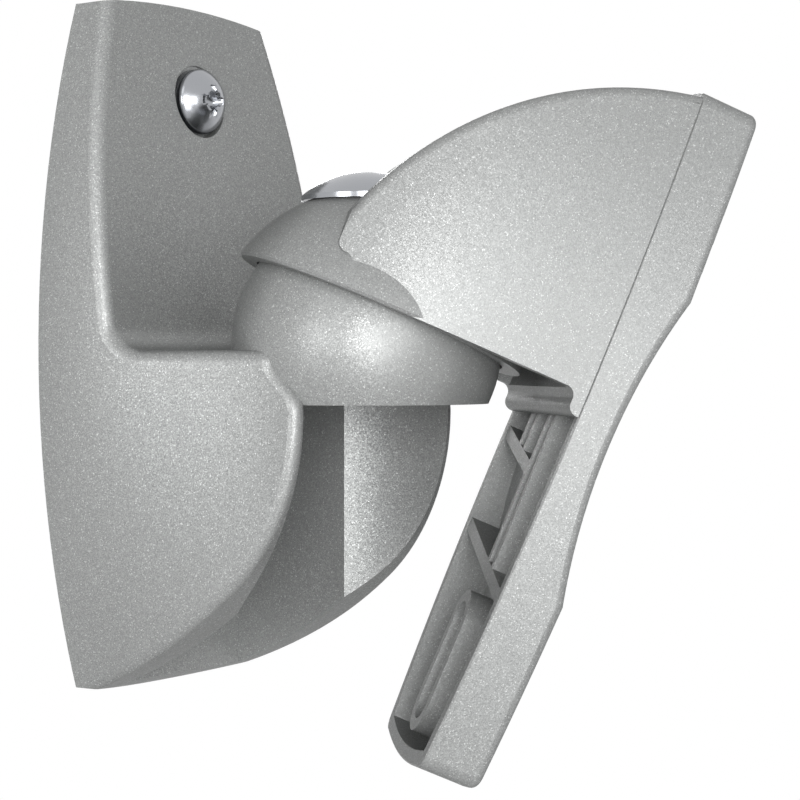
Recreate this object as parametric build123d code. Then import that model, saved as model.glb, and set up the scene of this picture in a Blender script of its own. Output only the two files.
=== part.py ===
"""Speaker wall bracket: a wall casting with a ball, and a hooded arm with a speaker plate.

Frame in millimetres: +Z up, the wall is the plane y = 0, the room is on the -Y side.
The origin is on the wall face, level with the centre of the ball.
The arm and the plate are modelled level and square to the wall with the ball's centre as
their own origin, and then turned to the pose they are shown in.
"""
from build123d import *
from math import cos, degrees, radians, sin, sqrt, tan
import os

# Pose of the speaker side, in degrees
SWIVEL = 43.9
TILT = 23.4

# Back plate and cheeks of the wall casting
PLATE_HEIGHT = 100.0
PLATE_MID_WIDTH = 51.6
PLATE_END_WIDTH = 36.4
PLATE_END_RISE = 1.2
FLANK_STATION = 14.0
FLANK_DRAW_IN = 1.6
CHEEK_FRONT_WIDTH = 38.6
CHEEK_TIP_DRAW_IN = 0.6
TOP_THICKNESS = 6.2
LEDGE_THICKNESS = 13.4
LEDGE_DROP = 0.8
INNER_CORNER_RADIUS = 4.6
CHEEK_TOP_REACH = 37.0
CHEEK_NOSE_REACH = 41.6
CHEEK_NOSE_DROP = 9.6
BELLY_FRONT_RADIUS = 33.0
BELLY_FRONT_TURN = 50.0
PLATE_EDGE_ROUND = 1.9
BELLY_ROUND = 1.4
CHEEK_BOW = 0.2

# Channel between the cheeks
BACK_WALL = 5.2
CHANNEL_WIDTH = 25.0
CHANNEL_STEP = 26.0
CHANNEL_FLARE = 4.9
LEDGE_WALL = 4.0

# Ball and clamp
BALL_DIAMETER = 38.4
BALL_OFFSET = 39.4
BALL_FLAT_DROP = 8.3
BALL_CORE_DIAMETER = 29.0
BALL_BOSS_DIAMETER = 19.0
BALL_CROWN = 6.0
SLIDE_GAP = 0.3
SHAFT_GAP = 0.05
CLAMP_SHANK_DIAMETER = 8.0
CLAMP_HEAD_DIAMETER = 18.6
CLAMP_HEAD_RIM = 0.7
CLAMP_HEAD_RISE = 3.6
CLAMP_RECESS_SIZE = 14.4
NUT_ACROSS_FLATS = 13.0
NUT_HEIGHT = 6.5
NUT_GAP = 0.1
NUT_SETBACK = 0.8
SHANK_PAST_NUT = 0.4

# Wall screws
WALL_SCREW_DIAMETER = 5.0
WALL_SCREW_LENGTH = 20.0
WALL_SCREW_NECK = 3.8
WALL_SCREW_NECK_LENGTH = 8.0
WALL_SCREW_TIP = 1.5
WALL_SCREW_HEAD = 9.8
WALL_SCREW_RIM = 1.8
WALL_SCREW_RISE = 2.6
WALL_SCREW_HOLE = 5.6
UPPER_SCREW_Z = 37.0
LOWER_SCREW_Z = -26.0
SPOT_FACE_DIAMETER = 11.0
SPOT_FACE_DEPTH = 1.2

# Cross recesses, as shares of the head size that they are drawn for
RECESS_SPAN = 0.48
RECESS_WIDTH = 0.13
RECESS_DEPTH = 0.20
RECESS_WELL_FOOT = 0.078
RECESS_WELL_MOUTH = 0.173

# Arm: dome, hood and screw channel
DOME_WALL = 2.6
RIM_HEIGHT = 4.5
RIM_CHAMFER = 0.4
TILT_MIN = 0.0
TILT_MAX = 25.0
SLOT_MARGIN = 3.0
HOOD_WALL = 2.5
HOOD_ARC_RADIUS = 52.2
HOOD_ARC_FORWARD = 38.4
HOOD_ARC_DROP = 2.0
HOOD_WIDTH = 43.0
HOOD_TAPER_START = 4.0
HOOD_TAPER_RADIUS = 30.0
HOOD_NECK_REACH = -5.0
HOOD_NECK_WIDTH = 39.8
HOOD_NOSE_WIDTH = 33.0
NOSE_HEIGHT = 9.1
NOSE_ROUND = 1.4
NOSE_BACK = 11.0
NOSE_FLOOR_END = -9.3
NOSE_FLOOR_DROP = -3.0
FOOT_DROP = 3.4
FOOT_DEPTH = 1.7
FOOT_ROUND = 1.4
HOOD_EDGE_ROUND = 1.6
HEAD_ROOM = 2.2
CHANNEL_WALL = 2.0

# Speaker plate
SEAM_REACH = 27.4
PLATE_DEPTH = 8.7
SCALLOP_DEPTH = 3.0
PAD_TOP_START = 21.6
PAD_BOTTOM_START = -23.0
TRAY_TOP = 49.5
TRAY_BOTTOM = -50.3
TRAY_END_WIDTH = 32.0
TRAY_END_RISE = 1.5
TRAY_WALL = 2.0
TRAY_FLOOR = 2.4
TRAY_CORNER = 2.5
RIB_SETBACK = 0.2
RIB_WIDTH = 1.3
HOLE_TO_RIB = 0.3
OUTER_RIB_OFFSET = 7.6
BRACE_WIDTH = 2.0
BRACE_LEAN = 11.8
UPPER_BRACE_V = -6.3
LOWER_BRACE_V = -21.4
SLOT_WIDTH = 5.6
SLOT_TOP = -28.0
SLOT_BOTTOM = -46.0
SLOT_RIM = 1.8
SPEAKER_HOLE_DIAMETER = 5.5
SPEAKER_HOLE_V = -12.6
HOLE_BOSS_SETBACK = 2.2
FRONT_EDGE_ROUND = 1.2
SEAM_CHAMFER = 0.25

# Screws between plate and arm
PLATE_SCREW_DIAMETER = 4.0
PLATE_SCREW_LENGTH = 15.0
PLATE_SCREW_HEAD = 7.8
PLATE_SCREW_HEAD_DEPTH = 2.2
PLATE_SCREW_SINK = 0.5
PLATE_RECESS_SIZE = 6.2
PLATE_SCREW_OFFSET = 10.5
PLATE_SCREW_V = 31.0
PLATE_BOSS_DIAMETER = 8.6
ARM_BOSS_LENGTH = 9.0
ARM_BOSS_END = 1.0

# How far cuts run past a face, and how near two points count as one
OVERRUN = 1.0
TOUCH = 0.05

# Values that follow from the driving sizes
HALF_HEIGHT = PLATE_HEIGHT / 2
BALL_R = BALL_DIAMETER / 2
DOME_INNER_R = BALL_R + SLIDE_GAP
DOME_OUTER_R = DOME_INNER_R + DOME_WALL
SHANK_R = CLAMP_SHANK_DIAMETER / 2
HEAD_R = CLAMP_HEAD_DIAMETER / 2
HOOD_HALF = HOOD_WIDTH / 2
PAD_REACH = SEAM_REACH + PLATE_DEPTH
PLATE_SLOPE = (LEDGE_THICKNESS - TOP_THICKNESS) / HALF_HEIGHT
FAR = 4 * PLATE_HEIGHT
BALL_CENTRE = Pos(0, -BALL_OFFSET, 0)
SPEAKER_POSE = BALL_CENTRE * Rot(0, 0, SWIVEL) * Rot(TILT, 0, 0)


def barrel(mid_width, end_width, top, bottom, rise):
    """Flat outline in x and z, widest at half height, with slightly arched ends."""
    end = end_width / 2
    mid = mid_width / 2
    level = (top + bottom) / 2
    right = ThreePointArc((end, bottom), (mid, level), (end, top))
    upper = ThreePointArc((end, top), (0, top + rise), (-end, top))
    left = ThreePointArc((-end, top), (-mid, level), (-end, bottom))
    lower = ThreePointArc((-end, bottom), (0, bottom - rise), (end, bottom))
    return make_face([right, upper, left, lower])


def facing_wall(sketch, depth):
    """Stand a sketch drawn in x and z upright at a given distance from the wall plane."""
    return Plane((0, -depth, 0), x_dir=(1, 0, 0), z_dir=(0, -1, 0)) * sketch


def side_prism(sketch, half_width):
    """Extrude a sketch drawn in (distance from the origin, height) to both sides in x."""
    plane = Plane((0, 0, 0), x_dir=(0, -1, 0), z_dir=(-1, 0, 0))
    return extrude(plane * sketch, half_width, both=True)


def forward_prism(sketch, start, end):
    """Extrude a sketch drawn in x and z from one distance to another, away from the wall."""
    return extrude(facing_wall(sketch, start), end - start)


def plan_prism(sketch, bottom, top):
    """Extrude a sketch drawn in (x, distance) upwards between two heights."""
    mirrored = mirror(sketch, Plane.XZ)
    return extrude(Pos(0, 0, bottom) * mirrored, top - bottom)


def cross_recess(size, apex):
    """Cross-shaped driver recess, sunk from the apex of a head along the Z axis."""
    span = size * RECESS_SPAN
    width = size * RECESS_WIDTH
    depth = size * RECESS_DEPTH
    wings = Rectangle(span, width) + Rectangle(width, span)
    slots = Pos(0, 0, apex - depth) * extrude(wings, 2 * depth)
    well = Cone(size * RECESS_WELL_FOOT, size * RECESS_WELL_MOUTH, depth)
    return slots + Pos(0, 0, apex - depth / 2) * well


def crown_arc(r, rim, rise):
    """Arc of a screw head's domed top, from its rim to its apex on the axis."""
    sphere = (r ** 2 + rise ** 2) / (2 * rise)
    middle = sqrt(sphere ** 2 - r ** 2 / 4) - sphere + rise
    return ThreePointArc((r, rim), (r / 2, rim + middle), (0, rim + rise))


def turned(profile):
    """Revolve a profile drawn in (radius, height) about the Z axis."""
    return revolve(Plane.XZ * profile, Axis.Z, 360)


def plate_face_reach(z):
    """Distance of the upper plate's sloping front face from the wall at a given height."""
    return LEDGE_THICKNESS - PLATE_SLOPE * z


def wall_side_profile():
    """Side outline of the wall casting: sloping plate, ledge, cheek nose and belly."""
    top = HALF_HEIGHT + PLATE_END_RISE + OVERRUN
    ledge = -LEDGE_DROP
    nose_z = -CHEEK_NOSE_DROP
    turn = radians(BELLY_FRONT_TURN)

    def on_belly(angle):
        reach = CHEEK_NOSE_REACH - BELLY_FRONT_RADIUS * (1 - cos(angle))
        return (reach, nose_z - BELLY_FRONT_RADIUS * sin(angle))

    belly = on_belly(turn)
    foot = (0, -HALF_HEIGHT - PLATE_END_RISE)
    corner = (plate_face_reach(ledge), ledge)
    lines = [
        Line(foot, (0, top)),
        Line((0, top), (plate_face_reach(top), top)),
        Line((plate_face_reach(top), top), corner),
        Line(corner, (CHEEK_TOP_REACH, ledge)),
        Spline((CHEEK_TOP_REACH, ledge), (CHEEK_NOSE_REACH, nose_z), tangents=[(0, -1), (0, -1)]),
        ThreePointArc((CHEEK_NOSE_REACH, nose_z), on_belly(turn / 2), belly),
        TangentArc(belly, foot, tangent=(-sin(turn), -cos(turn))),
    ]
    face = make_face(lines)
    inner = [v for v in face.vertices() if (Vector(v) - Vector(*corner)).length < TOUCH]
    return fillet(inner, INNER_CORNER_RADIUS)


def channel_plan():
    """Channel's plan: straight at the back, then a crease, and flared towards the front."""
    half = CHANNEL_WIDTH / 2
    mouth = half + CHANNEL_FLARE
    front = CHEEK_NOSE_REACH + OVERRUN
    right = [
        Polyline((0, front), (0, BACK_WALL), (half, BACK_WALL), (half, CHANNEL_STEP)),
        TangentArc((mouth, CHEEK_NOSE_REACH), (half, CHANNEL_STEP), tangent=(0, -1)),
        Polyline((mouth, CHEEK_NOSE_REACH), (mouth, front), (0, front)),
    ]
    face = make_face(right)
    return face + mirror(face, Plane.YZ)


def make_wall_bracket():
    """The wall casting: tapered barrel body, L-shaped cut, open channel below and ball in front."""
    base = barrel(PLATE_MID_WIDTH, PLATE_END_WIDTH, HALF_HEIGHT, -HALF_HEIGHT, PLATE_END_RISE)
    middle = barrel(
        PLATE_MID_WIDTH - FLANK_DRAW_IN, PLATE_END_WIDTH, HALF_HEIGHT, -HALF_HEIGHT, PLATE_END_RISE
    )
    front = barrel(
        CHEEK_FRONT_WIDTH + CHEEK_BOW, CHEEK_FRONT_WIDTH, HALF_HEIGHT, -HALF_HEIGHT, PLATE_END_RISE
    )
    tip_width = CHEEK_FRONT_WIDTH - CHEEK_TIP_DRAW_IN
    tip = barrel(tip_width + CHEEK_BOW, tip_width, HALF_HEIGHT, -HALF_HEIGHT, PLATE_END_RISE)
    sections = [
        facing_wall(base, 0),
        facing_wall(middle, FLANK_STATION),
        facing_wall(front, CHEEK_TOP_REACH),
        facing_wall(tip, CHEEK_NOSE_REACH + OVERRUN),
    ]
    body = loft(sections) & side_prism(wall_side_profile(), PLATE_MID_WIDTH)
    body = round_wall_edges(body)
    body -= plan_prism(channel_plan(), -PLATE_HEIGHT, -LEDGE_DROP - LEDGE_WALL)
    ball = BALL_CENTRE * Sphere(BALL_R)
    ball -= BALL_CENTRE * Pos(0, 0, -BALL_FLAT_DROP - BALL_R) * Box(FAR, FAR, 2 * BALL_R)
    body += ball
    core_top = sqrt(BALL_R ** 2 - (BALL_CORE_DIAMETER / 2) ** 2) - BALL_CROWN
    core = Cylinder(BALL_CORE_DIAMETER / 2, core_top + BALL_FLAT_DROP)
    core -= Cylinder(BALL_BOSS_DIAMETER / 2, core_top + BALL_FLAT_DROP)
    body -= BALL_CENTRE * Pos(0, 0, (core_top - BALL_FLAT_DROP) / 2) * core
    body -= BALL_CENTRE * Cylinder(SHANK_R + SHAFT_GAP, FAR)
    pocket = extrude(RegularPolygon(NUT_ACROSS_FLATS / 2 + NUT_GAP, 6, major_radius=False), -FAR)
    body -= BALL_CENTRE * Pos(0, 0, nut_seat()) * pocket
    for z in (UPPER_SCREW_Z, LOWER_SCREW_Z):
        axis = Plane((0, 0, z), x_dir=(1, 0, 0), z_dir=(0, -1, 0))
        body -= axis * Cylinder(WALL_SCREW_HOLE / 2, FAR)
    z, reach = wall_screw_seats()[0]
    seat = Plane((0, -reach, z), x_dir=(1, 0, 0), z_dir=(0, -1, 0))
    body -= seat * extrude(Circle(SPOT_FACE_DIAMETER / 2), WALL_SCREW_RIM + WALL_SCREW_RISE)
    return body


def round_wall_edges(body):
    """Round the casting's outer edges: the plate's front edges, its top and the cheeks' bellies."""
    corner_reach = LEDGE_THICKNESS + INNER_CORNER_RADIUS + OVERRUN
    upper = []
    lower = []
    foot_walls = []
    for edge in body.edges():
        box = edge.bounding_box()
        offset = abs(edge.center().X)
        on_plate = box.max.Y < -TOP_THICKNESS / 2 and box.min.Y > -corner_reach
        if on_plate and offset > CHANNEL_WIDTH / 3 and box.max.Z > 0 and box.min.Z > -LEDGE_DROP - TOUCH:
            upper.append(edge)
        if offset > CHANNEL_WIDTH / 2 and box.max.Z < -LEDGE_DROP - OVERRUN:
            if box.size.Z > TOUCH:
                lower.append(edge.center())
            else:
                foot_walls.append(edge.length)
    body = fillet(upper, PLATE_EDGE_ROUND)
    belly = [e for e in body.edges() if any((e.center() - old).length < TOUCH for old in lower)]
    return fillet(belly, min(BELLY_ROUND, min(foot_walls) / 2))


def nut_seat():
    """Height of the pocket's roof, so that the nut ends just inside the ball's flat."""
    return -BALL_FLAT_DROP + NUT_HEIGHT + NUT_SETBACK


def wall_screw_seats():
    """Height and reach of the face that each wall screw's head sits on."""
    upper = plate_face_reach(UPPER_SCREW_Z) - SPOT_FACE_DEPTH
    return [(UPPER_SCREW_Z, upper), (LOWER_SCREW_Z, BACK_WALL)]


def make_wall_screw(z, reach):
    """Pan-head wall screw on the given seat: a plain neck in the plate, the thread in the wall."""
    head_r = WALL_SCREW_HEAD / 2
    neck_r = WALL_SCREW_NECK / 2
    thread_r = WALL_SCREW_DIAMETER / 2
    apex = WALL_SCREW_RIM + WALL_SCREW_RISE
    end = -WALL_SCREW_LENGTH
    neck_end = -WALL_SCREW_NECK_LENGTH
    shank = Polyline(
        (0, apex),
        (0, end),
        (thread_r - WALL_SCREW_TIP, end),
        (thread_r, end + WALL_SCREW_TIP),
        (thread_r, neck_end),
        (neck_r, neck_end),
        (neck_r, 0),
        (head_r, 0),
        (head_r, WALL_SCREW_RIM),
    )
    profile = make_face([shank, crown_arc(head_r, WALL_SCREW_RIM, WALL_SCREW_RISE)])
    screw = turned(profile) - cross_recess(WALL_SCREW_HEAD, apex)
    return Plane((0, -reach, z), x_dir=(1, 0, 0), z_dir=(0, -1, 0)) * screw


def make_clamp_screw():
    """Mushroom-head clamp screw: hollow-ground under the head to ride on the dome."""
    seat_r = DOME_OUTER_R + SLIDE_GAP

    def on_seat(r):
        return (r, sqrt(seat_r ** 2 - r ** 2))

    low = nut_seat() - NUT_HEIGHT - SHANK_PAST_NUT
    rim = on_seat(HEAD_R)[1] + CLAMP_HEAD_RIM
    apex = rim + CLAMP_HEAD_RISE
    profile = make_face([
        Polyline((0, apex), (0, low), (SHANK_R, low), on_seat(SHANK_R)),
        ThreePointArc(on_seat(SHANK_R), on_seat((SHANK_R + HEAD_R) / 2), on_seat(HEAD_R)),
        Line(on_seat(HEAD_R), (HEAD_R, rim)),
        crown_arc(HEAD_R, rim, CLAMP_HEAD_RISE),
    ])
    screw = turned(profile) - cross_recess(CLAMP_RECESS_SIZE, apex)
    return BALL_CENTRE * Rot(0, 0, SWIVEL) * screw


def make_clamp_nut():
    """Hex nut against the roof of its pocket under the ball."""
    nut = extrude(RegularPolygon(NUT_ACROSS_FLATS / 2, 6, major_radius=False), -NUT_HEIGHT)
    nut -= Cylinder(SHANK_R + SHAFT_GAP, FAR)
    return BALL_CENTRE * Pos(0, 0, nut_seat()) * nut


def hood_side_profile(inset):
    """Side outline of the hood in (forward, up), drawn inwards by the wall where inset is given."""
    radius = HOOD_ARC_RADIUS - inset
    reach = SEAM_REACH - inset

    def on_arc(u):
        return (u, sqrt(radius ** 2 - (HOOD_ARC_FORWARD - u) ** 2) - HOOD_ARC_DROP)

    back = -NOSE_BACK + inset
    floor = RIM_HEIGHT
    top = ThreePointArc(on_arc(reach), on_arc((back + reach) / 2), on_arc(back))
    if inset:
        below = floor - OVERRUN
        return make_face([Polyline(on_arc(reach), (reach, below), (back, below), on_arc(back)), top])
    foot_u = reach - FOOT_DEPTH
    outline = [
        on_arc(back),
        (back, NOSE_HEIGHT),
        (NOSE_FLOOR_END, NOSE_HEIGHT),
        (NOSE_FLOOR_DROP, floor),
        (foot_u, floor),
        (foot_u, floor - FOOT_DROP),
        (reach, floor - FOOT_DROP),
        on_arc(reach),
    ]
    face = make_face([Polyline(*outline), top])

    def at(point):
        return [v for v in face.vertices() if (Vector(v) - Vector(*point)).length < TOUCH]

    face = fillet(at(outline[1]), NOSE_ROUND)
    return fillet(at(outline[4]) + at(outline[5]), FOOT_ROUND)


def hood_plan(half, radius, inset):
    """Plan outline of the hood in (x, forward): parallel flanks that bow in towards the nose."""
    back = -DOME_OUTER_R
    start = HOOD_TAPER_START

    def width_at(u):
        return half - (radius - sqrt(radius ** 2 - (start - u) ** 2))

    reach = SEAM_REACH - inset
    middle = (start + back) / 2
    end = (width_at(back), back)
    right = [
        Polyline(end, (0, back), (0, reach), (half, reach), (half, start)),
        ThreePointArc((half, start), (width_at(middle), middle), end),
    ]
    face = make_face(right)
    return face + mirror(face, Plane.YZ)


def screw_channel_plan(half, front):
    """Open-ended slot in plan, round at the front, that the clamp screw's head moves in."""
    slot = Pos(0, (front - half - FAR) / 2) * Rectangle(2 * half, FAR + front - half)
    return slot + Pos(0, front - half) * Circle(half)


def hood_flanks():
    """Body between the hood's flanks: the plate's outline at the seam, drawn in towards the nose."""
    stations = [
        (SEAM_REACH, HOOD_WIDTH),
        (HOOD_TAPER_START, HOOD_WIDTH),
        (HOOD_NECK_REACH, HOOD_NECK_WIDTH),
        (-NOSE_BACK - HOOD_WALL, HOOD_NOSE_WIDTH),
    ]
    sections = []
    for reach, width in stations:
        end_width = TRAY_END_WIDTH - HOOD_WIDTH + width
        outline = barrel(width, end_width, TRAY_TOP, TRAY_BOTTOM, TRAY_END_RISE)
        sections.append(facing_wall(outline, reach))
    return loft(sections)


def make_speaker_arm():
    """Hood with its dome: hollow below, with a channel for the clamp screw from the nose."""
    inner_outline = barrel(
        HOOD_WIDTH - 2 * HOOD_WALL, TRAY_END_WIDTH - 2 * HOOD_WALL, TRAY_TOP, TRAY_BOTTOM, TRAY_END_RISE
    )
    hood = hood_flanks() & side_prism(hood_side_profile(0), HOOD_WIDTH)
    hood = fillet(hood_top_edges(hood), HOOD_EDGE_ROUND)
    rim = RIM_HEIGHT
    dome = Sphere(DOME_OUTER_R) & Pos(0, 0, rim + FAR / 2) * Box(FAR, FAR, FAR)
    dome = chamfer(dome.edges().filter_by(GeomType.CIRCLE).sort_by(Axis.Z)[:1], RIM_CHAMFER)
    clear = HEAD_R + HEAD_ROOM
    channel = plan_prism(screw_channel_plan(clear, clear + HEAD_ROOM), rim, PLATE_HEIGHT)
    shell_plan = screw_channel_plan(clear + CHANNEL_WALL, clear + HEAD_ROOM + CHANNEL_WALL)
    channel_shell = plan_prism(shell_plan, -PLATE_HEIGHT, PLATE_HEIGHT)
    pocket = side_prism(hood_side_profile(HOOD_WALL), HOOD_WIDTH)
    pocket_plan = hood_plan(HOOD_HALF - HOOD_WALL, HOOD_TAPER_RADIUS - HOOD_WALL, HOOD_WALL)
    pocket &= plan_prism(pocket_plan, -PLATE_HEIGHT, PLATE_HEIGHT)
    pocket &= forward_prism(inner_outline, -FAR, FAR)
    pocket -= channel_shell
    pocket -= Sphere(DOME_OUTER_R)
    arm = hood - pocket - channel
    arm += dome
    for side in (-1, 1):
        place = Pos(side * PLATE_SCREW_OFFSET, PLATE_SCREW_V)
        boss = facing_wall(place * Circle(PLATE_BOSS_DIAMETER / 2), SEAM_REACH)
        arm += extrude(boss, -ARM_BOSS_LENGTH)
        hole = facing_wall(place * Circle(PLATE_SCREW_DIAMETER / 2 + SHAFT_GAP), SEAM_REACH)
        arm -= extrude(hole, ARM_BOSS_END - ARM_BOSS_LENGTH)
    arm -= Sphere(DOME_INNER_R)
    arm -= dome_slot()
    return SPEAKER_POSE * arm


def hood_top_edges(hood):
    """Edges along which the hood's arched top meets its flanks, short of the seam."""
    edges = []
    for edge in hood.edges():
        box = edge.bounding_box()
        on_flank = abs(edge.center().X) > HEAD_R
        along = box.size.Y > HOOD_WALL
        if on_flank and along and box.min.Z > NOSE_HEIGHT + NOSE_ROUND:
            edges.append(edge)
    return edges


def dome_slot():
    """Slot through the dome that lets it tilt about the ball past the clamp screw's shank."""
    half = SHANK_R + SLIDE_GAP
    first = radians(TILT_MIN - SLOT_MARGIN)
    last = radians(TILT_MAX + SLOT_MARGIN)
    middle = (first + last) / 2
    cut_height = DOME_OUTER_R
    top = DOME_OUTER_R + cut_height / 2
    low = DOME_OUTER_R - cut_height / 2
    cut = Pos(0, 0, DOME_OUTER_R) * Cylinder(half, cut_height)
    slot = Rot(-degrees(first), 0, 0) * cut + Rot(-degrees(last), 0, 0) * cut
    fan = [
        (-low * sin(last), low * cos(last)),
        (-top * sin(last), top * cos(last)),
        (-top * sin(middle), top * cos(middle)),
        (-top * sin(first), top * cos(first)),
        (-low * sin(first), low * cos(first)),
    ]
    return slot + side_prism(make_face(Polyline(*fan, close=True)), half)


def tray_side_profile(floor, overrun):
    """Side outline of the plate: flat pads at both ends, a shallow scallop between them."""
    pad = PAD_REACH - floor
    low = pad - SCALLOP_DEPTH
    top = TRAY_TOP + TRAY_END_RISE + OVERRUN
    bottom = TRAY_BOTTOM - TRAY_END_RISE - OVERRUN
    level = (PAD_TOP_START + PAD_BOTTOM_START) / 2
    rear = SEAM_REACH - overrun
    scallop_top = (pad, PAD_TOP_START)
    scallop_bottom = (pad, PAD_BOTTOM_START)
    back = Polyline(scallop_top, (pad, top), (rear, top), (rear, bottom), (pad, bottom), scallop_bottom)
    return make_face([back, ThreePointArc(scallop_bottom, (low, level), scallop_top)])


def make_speaker_plate():
    """Ribbed tray, open towards the wall, with two flat pads for the speaker."""
    outline = barrel(HOOD_WIDTH, TRAY_END_WIDTH, TRAY_TOP, TRAY_BOTTOM, TRAY_END_RISE)
    outline = fillet(outline.vertices(), TRAY_CORNER)
    inner = barrel(
        HOOD_WIDTH - 2 * TRAY_WALL, TRAY_END_WIDTH - 2 * TRAY_WALL,
        TRAY_TOP - TRAY_WALL, TRAY_BOTTOM + TRAY_WALL, TRAY_END_RISE,
    )
    solid = forward_prism(outline, SEAM_REACH, FAR) & side_prism(tray_side_profile(0, 0), HOOD_WIDTH)
    solid = fillet(plate_front_edges(solid), FRONT_EDGE_ROUND)
    seam = [e for e in solid.edges() if e.bounding_box().min.Y > -SEAM_REACH - TOUCH]
    solid = chamfer(seam, SEAM_CHAMFER)
    hollow = forward_prism(inner, 0, FAR) & side_prism(tray_side_profile(TRAY_FLOOR, OVERRUN), HOOD_WIDTH)
    ribs = forward_prism(tray_ribs(), SEAM_REACH + RIB_SETBACK, FAR)
    boss = Pos(0, SPEAKER_HOLE_V) * Circle(SPEAKER_HOLE_DIAMETER / 2 + SLOT_RIM)
    ribs += forward_prism(boss, SEAM_REACH + HOLE_BOSS_SETBACK, FAR)
    plate = solid - (hollow - ribs)
    length = SLOT_TOP - SLOT_BOTTOM
    slot = Pos(0, (SLOT_TOP + SLOT_BOTTOM) / 2) * SlotOverall(length, SLOT_WIDTH, rotation=90)
    plate -= forward_prism(slot, 0, FAR)
    plate -= forward_prism(Pos(0, SPEAKER_HOLE_V) * Circle(SPEAKER_HOLE_DIAMETER / 2), 0, FAR)
    for side in (-1, 1):
        place = Pos(side * PLATE_SCREW_OFFSET, PLATE_SCREW_V)
        plate -= forward_prism(place * Circle(PLATE_SCREW_DIAMETER / 2 + SHAFT_GAP), 0, FAR)
        plate -= plate_screw_place(side) * turned(plate_screw_head(SHAFT_GAP, PLATE_SCREW_SINK + OVERRUN))
    return SPEAKER_POSE * plate


def plate_front_edges(solid):
    """Outer edges of the pads and of the scallop, on the side that faces the speaker."""
    edges = []
    for edge in solid.edges():
        box = edge.bounding_box()
        in_front = box.max.Y < -(PAD_REACH - SCALLOP_DEPTH - OVERRUN)
        across = box.size.X > HOOD_HALF
        at_end = abs(edge.center().Z) > HOOD_WIDTH
        if in_front and (at_end or not across):
            edges.append(edge)
    return edges


def tray_ribs():
    """Plan of the tray's ribs: long thin ribs that end at two slanted braces, a slot rim and bosses."""
    half = HOOD_WIDTH / 2
    inner = (SPEAKER_HOLE_DIAMETER + RIB_WIDTH) / 2 + HOLE_TO_RIB
    slope = tan(radians(BRACE_LEAN))
    slot_length = SLOT_TOP - SLOT_BOTTOM
    ribs = Pos(0, (SLOT_TOP + SLOT_BOTTOM) / 2) * SlotOverall(
        slot_length + 2 * SLOT_RIM, SLOT_WIDTH + 2 * SLOT_RIM, rotation=90
    )
    ribs += brace(-half, half, LOWER_BRACE_V)
    ribs += brace(-inner, half, UPPER_BRACE_V)
    for offset in (inner, OUTER_RIB_OFFSET):
        ribs += long_rib(-offset, LOWER_BRACE_V - slope * offset)
        ribs += long_rib(offset, UPPER_BRACE_V + slope * offset)
    for side in (-1, 1):
        ribs += Pos(side * PLATE_SCREW_OFFSET, PLATE_SCREW_V) * Circle(PLATE_BOSS_DIAMETER / 2)
    return ribs


def brace(left, right, level):
    """Slanted bar in plan from one side offset to another, at the given height on the middle line."""
    slope = tan(radians(BRACE_LEAN))
    rise = BRACE_WIDTH / cos(radians(BRACE_LEAN)) / 2
    corners = [
        (left, level + slope * left - rise),
        (right, level + slope * right - rise),
        (right, level + slope * right + rise),
        (left, level + slope * left + rise),
    ]
    return make_face(Polyline(*corners, close=True))


def long_rib(offset, end):
    """Thin upright rib in plan, from the plate's top down to the given height."""
    return Pos(offset, (TRAY_TOP + end) / 2) * Rectangle(RIB_WIDTH, TRAY_TOP - end)


def plate_screw_place(side):
    """Seat of a plate screw: its axis points out of the plate, its head top just under the pad."""
    origin = (side * PLATE_SCREW_OFFSET, -(PAD_REACH - PLATE_SCREW_SINK), PLATE_SCREW_V)
    return Plane(origin, x_dir=(1, 0, 0), z_dir=(0, -1, 0))


def plate_screw_head(gap, above):
    """Half profile of a countersunk head below z = 0, with a cylinder above it for the cut."""
    r = PLATE_SCREW_HEAD / 2 + gap
    core = PLATE_SCREW_DIAMETER / 2 + gap
    points = [(0, above), (r, above), (r, 0), (core, -PLATE_SCREW_HEAD_DEPTH), (0, -PLATE_SCREW_HEAD_DEPTH)]
    if not above:
        points = points[1:]
        points[0] = (0, 0)
    return make_face(Polyline(*points, close=True))


def make_plate_screw(side):
    """Countersunk screw that holds the plate to the arm's boss on one side."""
    screw = turned(plate_screw_head(0, 0))
    screw += Pos(0, 0, -PLATE_SCREW_LENGTH / 2) * Cylinder(PLATE_SCREW_DIAMETER / 2, PLATE_SCREW_LENGTH)
    screw -= cross_recess(PLATE_RECESS_SIZE, 0)
    return SPEAKER_POSE * (plate_screw_place(side) * screw)


def main():
    os.makedirs("parts", exist_ok=True)
    seats = wall_screw_seats()
    nodes = {
        "wall_bracket": make_wall_bracket(),
        "upper_wall_screw": make_wall_screw(*seats[0]),
        "lower_wall_screw": make_wall_screw(*seats[1]),
        "clamp_screw": make_clamp_screw(),
        "clamp_nut": make_clamp_nut(),
        "speaker_arm": make_speaker_arm(),
        "speaker_plate": make_speaker_plate(),
        "left_plate_screw": make_plate_screw(-1),
        "right_plate_screw": make_plate_screw(1),
    }
    for name, shape in nodes.items():
        export_step(shape, f"parts/{name}.step")


main()
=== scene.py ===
"""Looks for the speaker wall bracket: painted castings, chromed screws, studio and camera.

Every object is in metres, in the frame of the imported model: +Z up, the wall at y = 0.
The castings and the inner screws are shown as the CAD has them. The two wall screws are
replaced by copies whose plain shank has become a wound thread.
"""
from math import cos, pi, radians, sin

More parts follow.
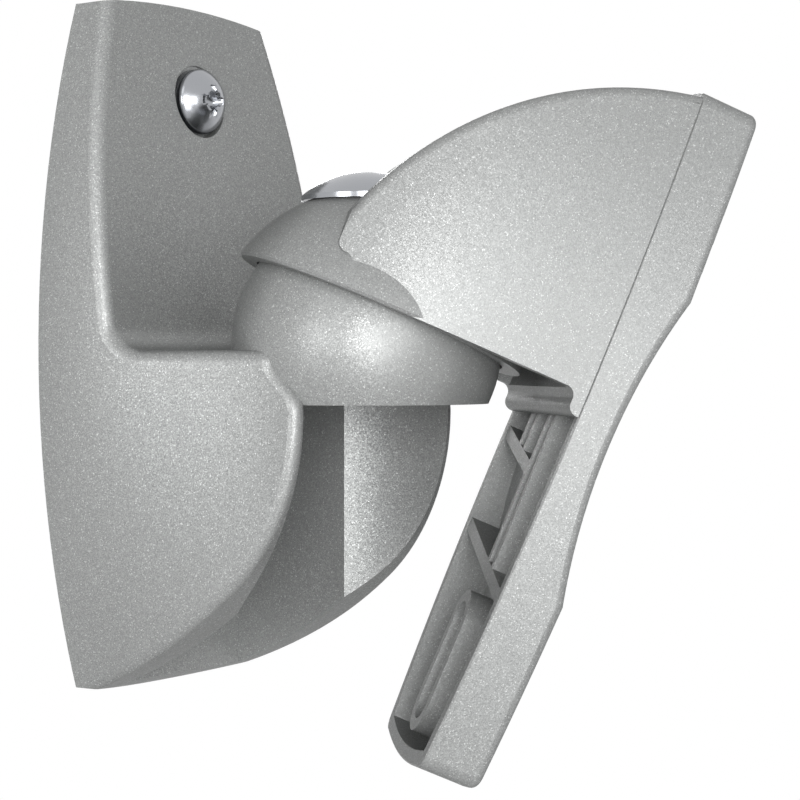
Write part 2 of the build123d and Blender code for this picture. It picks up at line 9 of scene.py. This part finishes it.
import bmesh
import bpy
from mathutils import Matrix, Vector


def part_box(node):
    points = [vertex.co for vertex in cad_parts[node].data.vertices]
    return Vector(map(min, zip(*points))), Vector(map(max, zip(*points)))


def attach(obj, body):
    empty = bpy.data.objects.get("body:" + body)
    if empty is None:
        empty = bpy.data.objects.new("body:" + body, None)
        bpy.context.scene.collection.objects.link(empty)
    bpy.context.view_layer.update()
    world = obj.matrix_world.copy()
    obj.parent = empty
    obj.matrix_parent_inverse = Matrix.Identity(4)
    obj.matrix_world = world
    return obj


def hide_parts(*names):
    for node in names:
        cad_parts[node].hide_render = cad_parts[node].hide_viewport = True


WHITE = (1.0, 1.0, 1.0, 1.0)

# Camera, found by matching the bracket's outlines with the photograph
IMAGE_SIDE = 800
CAMERA_PLACE = (-0.2303, -0.2083, -0.0033)
CAMERA_LEVEL = 90
CAMERA_YAW = 54.28
FOCAL_PIXELS = 2008
CENTRE_PIXEL = (385.5, 368.2)
SENSOR_MM = 36.0
CLIP_START = 0.01

# Lamps: azimuth in degrees from -Y, positive towards +X, then elevation in degrees and watts
LAMP_TARGET = Vector((0.0, -0.035, 0.0))
LAMP_DISTANCE = 0.8
LAMP_SIZE = 0.3
LAMPS = {
    "key": (-54, 5, 3.2),
    "front": (-28, 5, 1.2),
    "low": (-45, -15, 0.7),
    "side": (-94, 5, 1.5),
    "high_side": (-85, 35, 0.3),
    "rear_right": (125, 10, 2.5),
}

# Surroundings: white to look at, nearly dark as a light
WORLD_STRENGTH = 0.02

# Floor: part white under the bracket, where it takes the shadow, and all white further out
FLOOR_DROP = 0.35
FLOOR_SIZE = 6.0
FLOOR_GREY = (0.8, 0.8, 0.8, 1.0)
FLOOR_ROUGHNESS = 1.0
SHADOW_REACH = 0.25
WHITE_REACH = 0.9
NEAR_WHITE = 0.45

# Paint: grey with a faint green cast, fine dark and light flakes, and a few flakes with a painted
# glint
PAINT_DARK = (0.277, 0.283, 0.28, 1.0)
PAINT_GREY = (0.347, 0.353, 0.35, 1.0)
PAINT_LIGHT = (0.416, 0.424, 0.42, 1.0)
# painted glint: a few flakes get this much brighter colour in place of sparkle from light
PAINT_GLINT = (0.693, 0.707, 0.7, 1.0)
GREY_STOP = 0.5
LIGHT_STOP = 0.94
FLAKE_SIZE = 0.00013
FLAKE_TILT = 0.16
MEAN_TILT = 0.5
CLOUD_SIZE = 0.0022
PAINT_METALLIC = 0.38
PAINT_SPECULAR = 0.08
PAINT_EDGE = (0.4, 0.4, 0.4, 1.0)
PAINT_ROUGHNESS = (0.36, 0.42)

# Chrome, kept dark because everything it mirrors is white
CHROME = (0.36, 0.37, 0.39, 1.0)
CHROME_METALLIC = 1.0
CHROME_GRAIN = 0.0011
CHROME_ROUGHNESS = (0.16, 0.26)

# Wall screw thread: a sharp ridge wound round a thinner core, tapering to a point
THREAD_LENGTH = 0.012
THREAD_CORE = 0.0018
THREAD_CREST = 0.0025
THREAD_PITCH = 0.0022
CREST_PHASE = 0.5
RIDGE_SHARE = 0.3
POINT_LENGTH = 0.004
POINT_SHARE = 0.1
STEPS_PER_TURN = 32
ROWS_PER_PITCH = 12
NECK_CUT = 0.0002
WELD_DISTANCE = 1e-6
SHARP_ANGLE = 30

PAINTED = ("wall_bracket", "speaker_arm", "speaker_plate")
PLAIN_SCREWS = ("clamp_screw", "clamp_nut", "left_plate_screw", "right_plate_screw")
WALL_SCREWS = ("upper_wall_screw", "lower_wall_screw")


def new_material(name):
    """New node material, returned with its node tree and its principled shader."""
    material = bpy.data.materials.new(name)
    material.use_nodes = True
    tree = material.node_tree
    return material, tree, tree.nodes["Principled BSDF"]


def vary_roughness(tree, shader, place, grain, span):
    """Let the roughness wander between two values at the given grain size."""
    noise = tree.nodes.new("ShaderNodeTexNoise")
    noise.inputs["Scale"].default_value = 1 / grain
    tree.links.new(place.outputs["Object"], noise.inputs["Vector"])
    spread = tree.nodes.new("ShaderNodeMapRange")
    spread.inputs["To Min"].default_value = span[0]
    spread.inputs["To Max"].default_value = span[1]
    tree.links.new(noise.outputs["Fac"], spread.inputs["Value"])
    tree.links.new(spread.outputs["Result"], shader.inputs["Roughness"])


def colour_flakes(tree, shader, flakes):
    """Give each flake its own brightness: most near grey, a few much brighter as painted glints."""
    split = tree.nodes.new("ShaderNodeSeparateColor")
    tree.links.new(flakes.outputs["Color"], split.inputs["Color"])
    ramp = tree.nodes.new("ShaderNodeValToRGB")
    stops = ramp.color_ramp.elements
    stops[0].color = PAINT_DARK
    # painted glints: the top of the ramp gives the rarest flakes the bright glint colour
    stops[1].color = PAINT_GLINT
    stops.new(GREY_STOP).color = PAINT_GREY
    stops.new(LIGHT_STOP).color = PAINT_LIGHT
    tree.links.new(split.outputs["Red"], ramp.inputs["Fac"])
    tree.links.new(ramp.outputs["Color"], shader.inputs["Base Color"])


def tilt_flakes(tree, shader, flakes):
    """Lean each flake its own way from the surface it lies on."""
    lean = tree.nodes.new("ShaderNodeVectorMath")
    lean.operation = "SUBTRACT"
    lean.inputs[1].default_value = (MEAN_TILT, MEAN_TILT, MEAN_TILT)
    tree.links.new(flakes.outputs["Color"], lean.inputs[0])
    surface = tree.nodes.new("ShaderNodeNewGeometry")
    tilt = tree.nodes.new("ShaderNodeVectorMath")
    tilt.operation = "MULTIPLY_ADD"
    tilt.inputs[1].default_value = (FLAKE_TILT, FLAKE_TILT, FLAKE_TILT)
    tree.links.new(lean.outputs["Vector"], tilt.inputs[0])
    tree.links.new(surface.outputs["Normal"], tilt.inputs[2])
    unit = tree.nodes.new("ShaderNodeVectorMath")
    unit.operation = "NORMALIZE"
    tree.links.new(tilt.outputs["Vector"], unit.inputs[0])
    tree.links.new(unit.outputs["Vector"], shader.inputs["Normal"])


def make_paint():
    """Silver-grey paint: tiny flakes of different brightness, the brightest a painted glint, tilted
    each its own way.
    """
    material, tree, shader = new_material("flecked_paint")
    place = tree.nodes.new("ShaderNodeTexCoord")
    flakes = tree.nodes.new("ShaderNodeTexVoronoi")
    flakes.inputs["Scale"].default_value = 1 / FLAKE_SIZE
    tree.links.new(place.outputs["Object"], flakes.inputs["Vector"])
    colour_flakes(tree, shader, flakes)
    tilt_flakes(tree, shader, flakes)
    vary_roughness(tree, shader, place, CLOUD_SIZE, PAINT_ROUGHNESS)
    shader.inputs["Metallic"].default_value = PAINT_METALLIC
    shader.inputs["Specular IOR Level"].default_value = PAINT_SPECULAR
    shader.inputs["Specular Tint"].default_value = PAINT_EDGE
    return material


def make_chrome():
    """Chrome with a faint unevenness in its polish."""
    material, tree, shader = new_material("chrome")
    place = tree.nodes.new("ShaderNodeTexCoord")
    vary_roughness(tree, shader, place, CHROME_GRAIN, CHROME_ROUGHNESS)
    shader.inputs["Base Color"].default_value = CHROME
    shader.inputs["Metallic"].default_value = CHROME_METALLIC
    return material


def dress(node, material):
    """Give a CAD node its material."""
    node.data.materials.clear()
    node.data.materials.append(material)


def thread_radius(along, turn):
    """Radius of the thread at a distance from its start and an angle round its axis.

    The ridge grows over the first pitch, and core and ridge shrink together over the point.
    """
    phase = (along / THREAD_PITCH - turn / (2 * pi)) % 1
    ridge = max(0, 1 - abs(phase - CREST_PHASE) / RIDGE_SHARE)
    growth = min(1, along / THREAD_PITCH)
    left = min(1, (THREAD_LENGTH - along) / POINT_LENGTH)
    taper = POINT_SHARE + (1 - POINT_SHARE) * left
    return taper * (THREAD_CORE + (THREAD_CREST - THREAD_CORE) * ridge * growth)


def add_thread(build, x, z, start):
    """Add the threaded shank to a mesh in the making, along +Y from start."""
    rows = round(THREAD_LENGTH / THREAD_PITCH * ROWS_PER_PITCH)
    rings = []
    for row in range(rows + 1):
        along = THREAD_LENGTH * row / rows
        ring = []
        for step in range(STEPS_PER_TURN):
            turn = 2 * pi * step / STEPS_PER_TURN
            r = thread_radius(along, turn)
            place = (x + r * cos(turn), start + along, z + r * sin(turn))
            ring.append(build.verts.new(place))
        rings.append(ring)
    build.faces.new(rings[0])
    build.faces.new(reversed(rings[-1]))
    for near, far in zip(rings, rings[1:]):
        for step in range(STEPS_PER_TURN):
            after = (step + 1) % STEPS_PER_TURN
            build.faces.new((near[step], far[step], far[after], near[after]))


def make_wall_screw(name, node, material):
    """Wall screw with the head and neck of its CAD node, and a wound thread for the shank.

    The neck is cut just before its end, and the thread starts as far again inside it.
    """
    low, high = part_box(name)
    cut = high.y - THREAD_LENGTH - NECK_CUT
    build = bmesh.new()
    build.from_mesh(node.data)
    bmesh.ops.remove_doubles(build, verts=build.verts, dist=WELD_DISTANCE)
    bmesh.ops.bisect_plane(
        build, geom=build.verts[:] + build.edges[:] + build.faces[:],
        plane_co=(0, cut, 0), plane_no=(0, 1, 0), clear_outer=True,
    )
    rim = [edge for edge in build.edges if edge.is_boundary]
    bmesh.ops.holes_fill(build, edges=rim)
    add_thread(build, (low.x + high.x) / 2, (low.z + high.z) / 2, cut - NECK_CUT)
    bmesh.ops.recalc_face_normals(build, faces=build.faces)
    mesh = bpy.data.meshes.new(name + "_threaded")
    build.to_mesh(mesh)
    build.free()
    mesh.shade_smooth()
    mesh.set_sharp_from_angle(angle=radians(SHARP_ANGLE))
    mesh.materials.append(material)
    screw = bpy.data.objects.new(name + "_threaded", mesh)
    bpy.context.scene.collection.objects.link(screw)
    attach(screw, "wall")
    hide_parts(name)


def make_lamps():
    """Soft square lamps, all at one distance from the bracket and aimed at it."""
    for name, (azimuth, elevation, power) in LAMPS.items():
        turn = radians(azimuth)
        rise = radians(elevation)
        away = Vector((sin(turn) * cos(rise), -cos(turn) * cos(rise), sin(rise)))
        data = bpy.data.lights.new(name, "AREA")
        data.size = LAMP_SIZE
        data.energy = power
        lamp = bpy.data.objects.new(name, data)
        lamp.location = LAMP_TARGET + away * LAMP_DISTANCE
        aim = LAMP_TARGET - lamp.location
        lamp.rotation_euler = aim.to_track_quat("-Z", "Y").to_euler()
        bpy.context.scene.collection.objects.link(lamp)


def seen_rays(tree):
    """Value that is 1 for what the camera, a mirror or glass sees, and 0 for light on a surface."""
    rays = tree.nodes.new("ShaderNodeLightPath")
    mirror = tree.nodes.new("ShaderNodeMath")
    mirror.use_clamp = True
    tree.links.new(rays.outputs["Is Camera Ray"], mirror.inputs[0])
    tree.links.new(rays.outputs["Is Glossy Ray"], mirror.inputs[1])
    glass = tree.nodes.new("ShaderNodeMath")
    glass.use_clamp = True
    tree.links.new(mirror.outputs["Value"], glass.inputs[0])
    tree.links.new(rays.outputs["Is Transmission Ray"], glass.inputs[1])
    return glass.outputs["Value"]


def make_floor_material():
    """Pale matt floor that glows white where it is seen, less so near the bracket."""
    material, tree, shader = new_material("floor")
    shader.inputs["Base Color"].default_value = FLOOR_GREY
    shader.inputs["Roughness"].default_value = FLOOR_ROUGHNESS
    place = tree.nodes.new("ShaderNodeTexCoord")
    reach = tree.nodes.new("ShaderNodeVectorMath")
    reach.operation = "LENGTH"
    tree.links.new(place.outputs["Object"], reach.inputs[0])
    fade = tree.nodes.new("ShaderNodeMapRange")
    fade.interpolation_type = "SMOOTHSTEP"
    fade.inputs["From Min"].default_value = SHADOW_REACH
    fade.inputs["From Max"].default_value = WHITE_REACH
    fade.inputs["To Min"].default_value = NEAR_WHITE
    tree.links.new(reach.outputs["Value"], fade.inputs["Value"])
    share = tree.nodes.new("ShaderNodeMath")
    share.operation = "MULTIPLY"
    tree.links.new(fade.outputs["Result"], share.inputs[0])
    tree.links.new(seen_rays(tree), share.inputs[1])
    glow = tree.nodes.new("ShaderNodeEmission")
    mix = tree.nodes.new("ShaderNodeMixShader")
    tree.links.new(share.outputs["Value"], mix.inputs["Fac"])
    tree.links.new(shader.outputs["BSDF"], mix.inputs[1])
    tree.links.new(glow.outputs["Emission"], mix.inputs[2])
    tree.links.new(mix.outputs["Shader"], tree.nodes["Material Output"].inputs["Surface"])
    return material


def make_floor():
    """Square floor below the bracket."""
    side = FLOOR_SIZE / 2
    mesh = bpy.data.meshes.new("floor")
    corners = [(-side, -side, 0), (side, -side, 0), (side, side, 0), (-side, side, 0)]
    mesh.from_pydata(corners, [], [(0, 1, 2, 3)])
    mesh.materials.append(make_floor_material())
    floor = bpy.data.objects.new("floor", mesh)
    floor.location.z = -FLOOR_DROP
    bpy.context.scene.collection.objects.link(floor)


def make_world():
    """White surroundings: full white where they are seen, dimmer as a light."""
    world = bpy.data.worlds.new("studio")
    world.use_nodes = True
    bpy.context.scene.world = world
    tree = world.node_tree
    sky = tree.nodes["Background"]
    sky.inputs["Color"].default_value = WHITE
    span = tree.nodes.new("ShaderNodeMapRange")
    span.inputs["To Min"].default_value = WORLD_STRENGTH
    tree.links.new(seen_rays(tree), span.inputs["Value"])
    tree.links.new(span.outputs["Result"], sky.inputs["Strength"])


def make_camera():
    """Camera at the photograph's place, with the photograph's focal length and framing."""
    data = bpy.data.cameras.new("camera")
    data.sensor_width = SENSOR_MM
    data.lens = SENSOR_MM * FOCAL_PIXELS / IMAGE_SIDE
    data.shift_x = (IMAGE_SIDE / 2 - CENTRE_PIXEL[0]) / IMAGE_SIDE
    data.shift_y = (CENTRE_PIXEL[1] - IMAGE_SIDE / 2) / IMAGE_SIDE
    data.clip_start = CLIP_START
    camera = bpy.data.objects.new("camera", data)
    camera.location = CAMERA_PLACE
    camera.rotation_euler = (radians(CAMERA_LEVEL), 0, radians(-CAMERA_YAW))
    bpy.context.scene.collection.objects.link(camera)
    bpy.context.scene.camera = camera


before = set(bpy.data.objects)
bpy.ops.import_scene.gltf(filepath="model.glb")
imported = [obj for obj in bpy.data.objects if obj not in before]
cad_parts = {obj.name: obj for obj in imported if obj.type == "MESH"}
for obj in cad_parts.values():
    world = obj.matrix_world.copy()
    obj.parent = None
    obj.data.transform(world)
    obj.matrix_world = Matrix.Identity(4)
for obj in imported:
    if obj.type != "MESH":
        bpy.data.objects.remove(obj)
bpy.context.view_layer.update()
bpy.context.scene.view_settings.view_transform = "Standard"

paint = make_paint()
chrome = make_chrome()
for name in PAINTED:
    dress(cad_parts[name], paint)
for name in PLAIN_SCREWS:
    dress(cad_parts[name], chrome)
for name in WALL_SCREWS:
    make_wall_screw(name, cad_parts[name], chrome)

make_floor()
make_world()
make_lamps()
make_camera()
